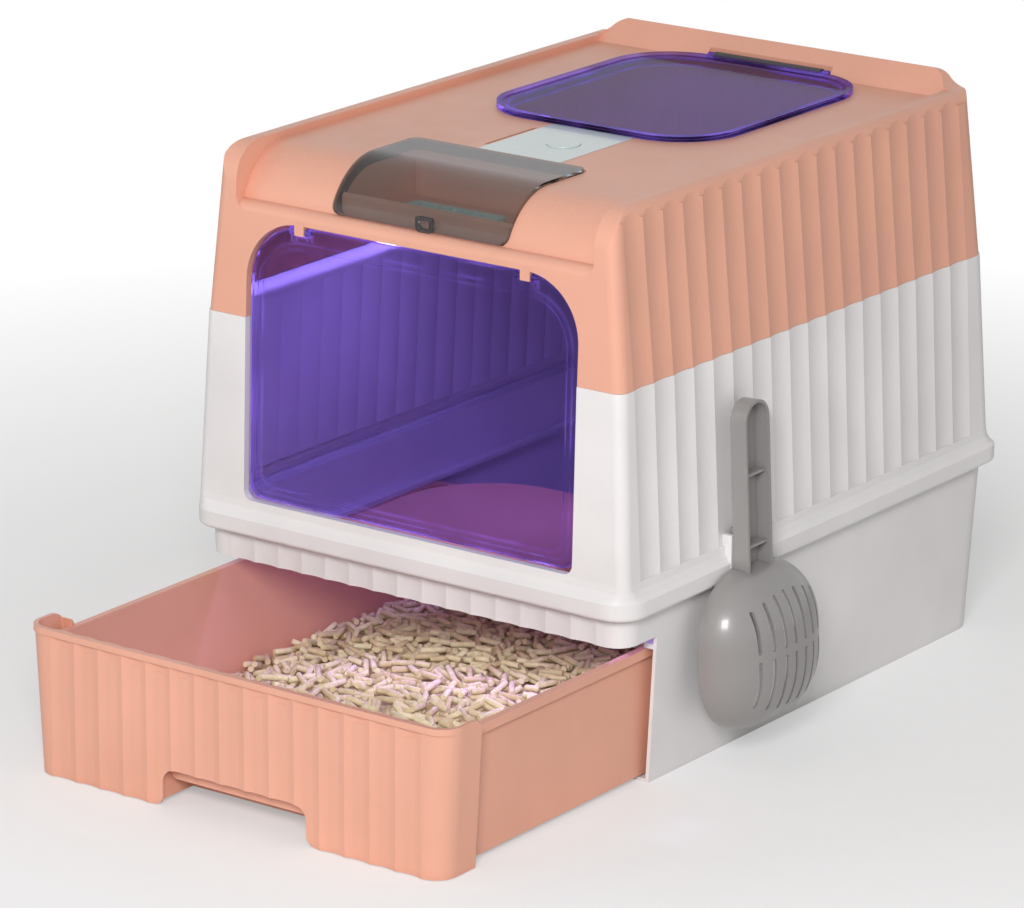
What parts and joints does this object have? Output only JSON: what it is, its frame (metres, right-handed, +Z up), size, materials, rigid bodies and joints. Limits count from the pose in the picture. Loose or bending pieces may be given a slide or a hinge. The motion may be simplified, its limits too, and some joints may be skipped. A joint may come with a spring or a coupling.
{
  "type": "covered cat litter box",
  "caption": "Covered cat litter box with a pull-out litter drawer, a swinging tinted door, a top hatch, a deodoriser compartment and a hanging scoop.",
  "frame": {"origin": "centre of the base's underside, below the middle of the flange", "axes": "+X to the right seen from the front, -Y towards the front, +Z up; the drawer slides along Y"},
  "size_m": [0.4771, 0.7509, 0.469],
  "materials": {
    "white_plastic": "satin moulded, fluted sides",
    "peach_plastic": "satin moulded, fluted sides",
    "grey_plastic": "semi-gloss moulded",
    "white_gloss": "smooth",
    "mint_plastic": "smooth, perforated",
    "dark_plastic": "fine texture",
    "violet_clear": "clear tinted moulding",
    "smoked_clear": "smoked clear moulding",
    "frosted_lens": "frosted",
    "violet_lamp": "light-emitting",
    "steel": "ground",
    "green_board": "solder mask",
    "cell_wrap": "shrink wrap",
    "carbon_foam": "open foam",
    "wood_pellets": "pressed pellets"
  },
  "bodies": {
    "base": {"base_shell": "white_plastic"},
    "drawer": {"litter_drawer": "peach_plastic", "litter_bed": "wood_pellets"},
    "middle": {"middle_shell": "white_plastic", "entry_frame": "white_plastic", "entry_step": "peach_plastic", "scoop_hanger": "white_plastic"},
    "cover": {"top_cover": "peach_plastic", "hatch_hinge_strip": "dark_plastic", "hatch_hinge_pin": "steel", "deodoriser_tray": "peach_plastic", "deodoriser_cartridge": "mint_plastic", "control_panel": "white_gloss", "button_spring": "steel", "tact_switch": "dark_plastic", "circuit_board": "green_board", "charge_port": "steel", "battery_cells": "cell_wrap", "module_housing": "white_plastic", "housing_screws": "steel", "fan_frame": "dark_plastic", "fan_shaft": "steel", "carbon_filter": "carbon_foam", "lamp_bar": "white_plastic", "lamp_board": "green_board", "lamp_leds": "violet_lamp", "lamp_lens": "frosted_lens"},
    "door": {"entry_door": "violet_clear", "door_hinge_pins": "steel"},
    "hatch": {"top_hatch": "violet_clear"},
    "flap": {"deodoriser_cover": "smoked_clear", "cover_latch": "smoked_clear"},
    "button": {"power_button": "white_gloss"},
    "fan": {"fan_rotor": "dark_plastic"},
    "scoop": {"litter_scoop": "grey_plastic"}
  },
  "joints": [
    {"name": "drawer_slide", "type": "slide", "parent": "base", "child": "drawer", "axis": [0, -1, 0], "range_m": [-0.218, 0.06]},
    {"name": "middle_lift", "type": "slide", "parent": "base", "child": "middle", "axis": [0, 0, 1], "range_m": [0, 0.08]},
    {"name": "cover_lift", "type": "slide", "parent": "middle", "child": "cover", "axis": [0, 0, 1], "range_m": [0, 0.08]},
    {"name": "door_swing", "type": "hinge", "parent": "cover", "child": "door", "pos_m": [0, -0.25442, 0.3953], "axis": [1, 0, 0], "range_deg": [-75, 50]},
    {"name": "hatch_hinge", "type": "hinge", "parent": "cover", "child": "hatch", "pos_m": [0, 0.2295, 0.453], "axis": [-1, 0, 0], "range_deg": [0, 105]},
    {"name": "flap_hinge", "type": "hinge", "parent": "cover", "child": "flap", "pos_m": [0, -0.157, 0.4452], "axis": [-1, 0, 0], "range_deg": [0, 80]},
    {"name": "button_press", "type": "slide", "parent": "cover", "child": "button", "axis": [0, 0, -1], "range_m": [0, 0.0013], "stiffness_N_per_m": 800, "springref_m": -0.002, "deforming": ["button_spring"]},
    {"name": "fan_spin", "type": "hinge", "parent": "cover", "child": "fan", "pos_m": [-0.038, -0.09, 0.414], "axis": [0, 0, 1], "continuous": true},
    {"name": "scoop_lift", "type": "slide", "parent": "middle", "child": "scoop", "axis": [0, 0, 1], "range_m": [0, 0.045]}
  ]
}
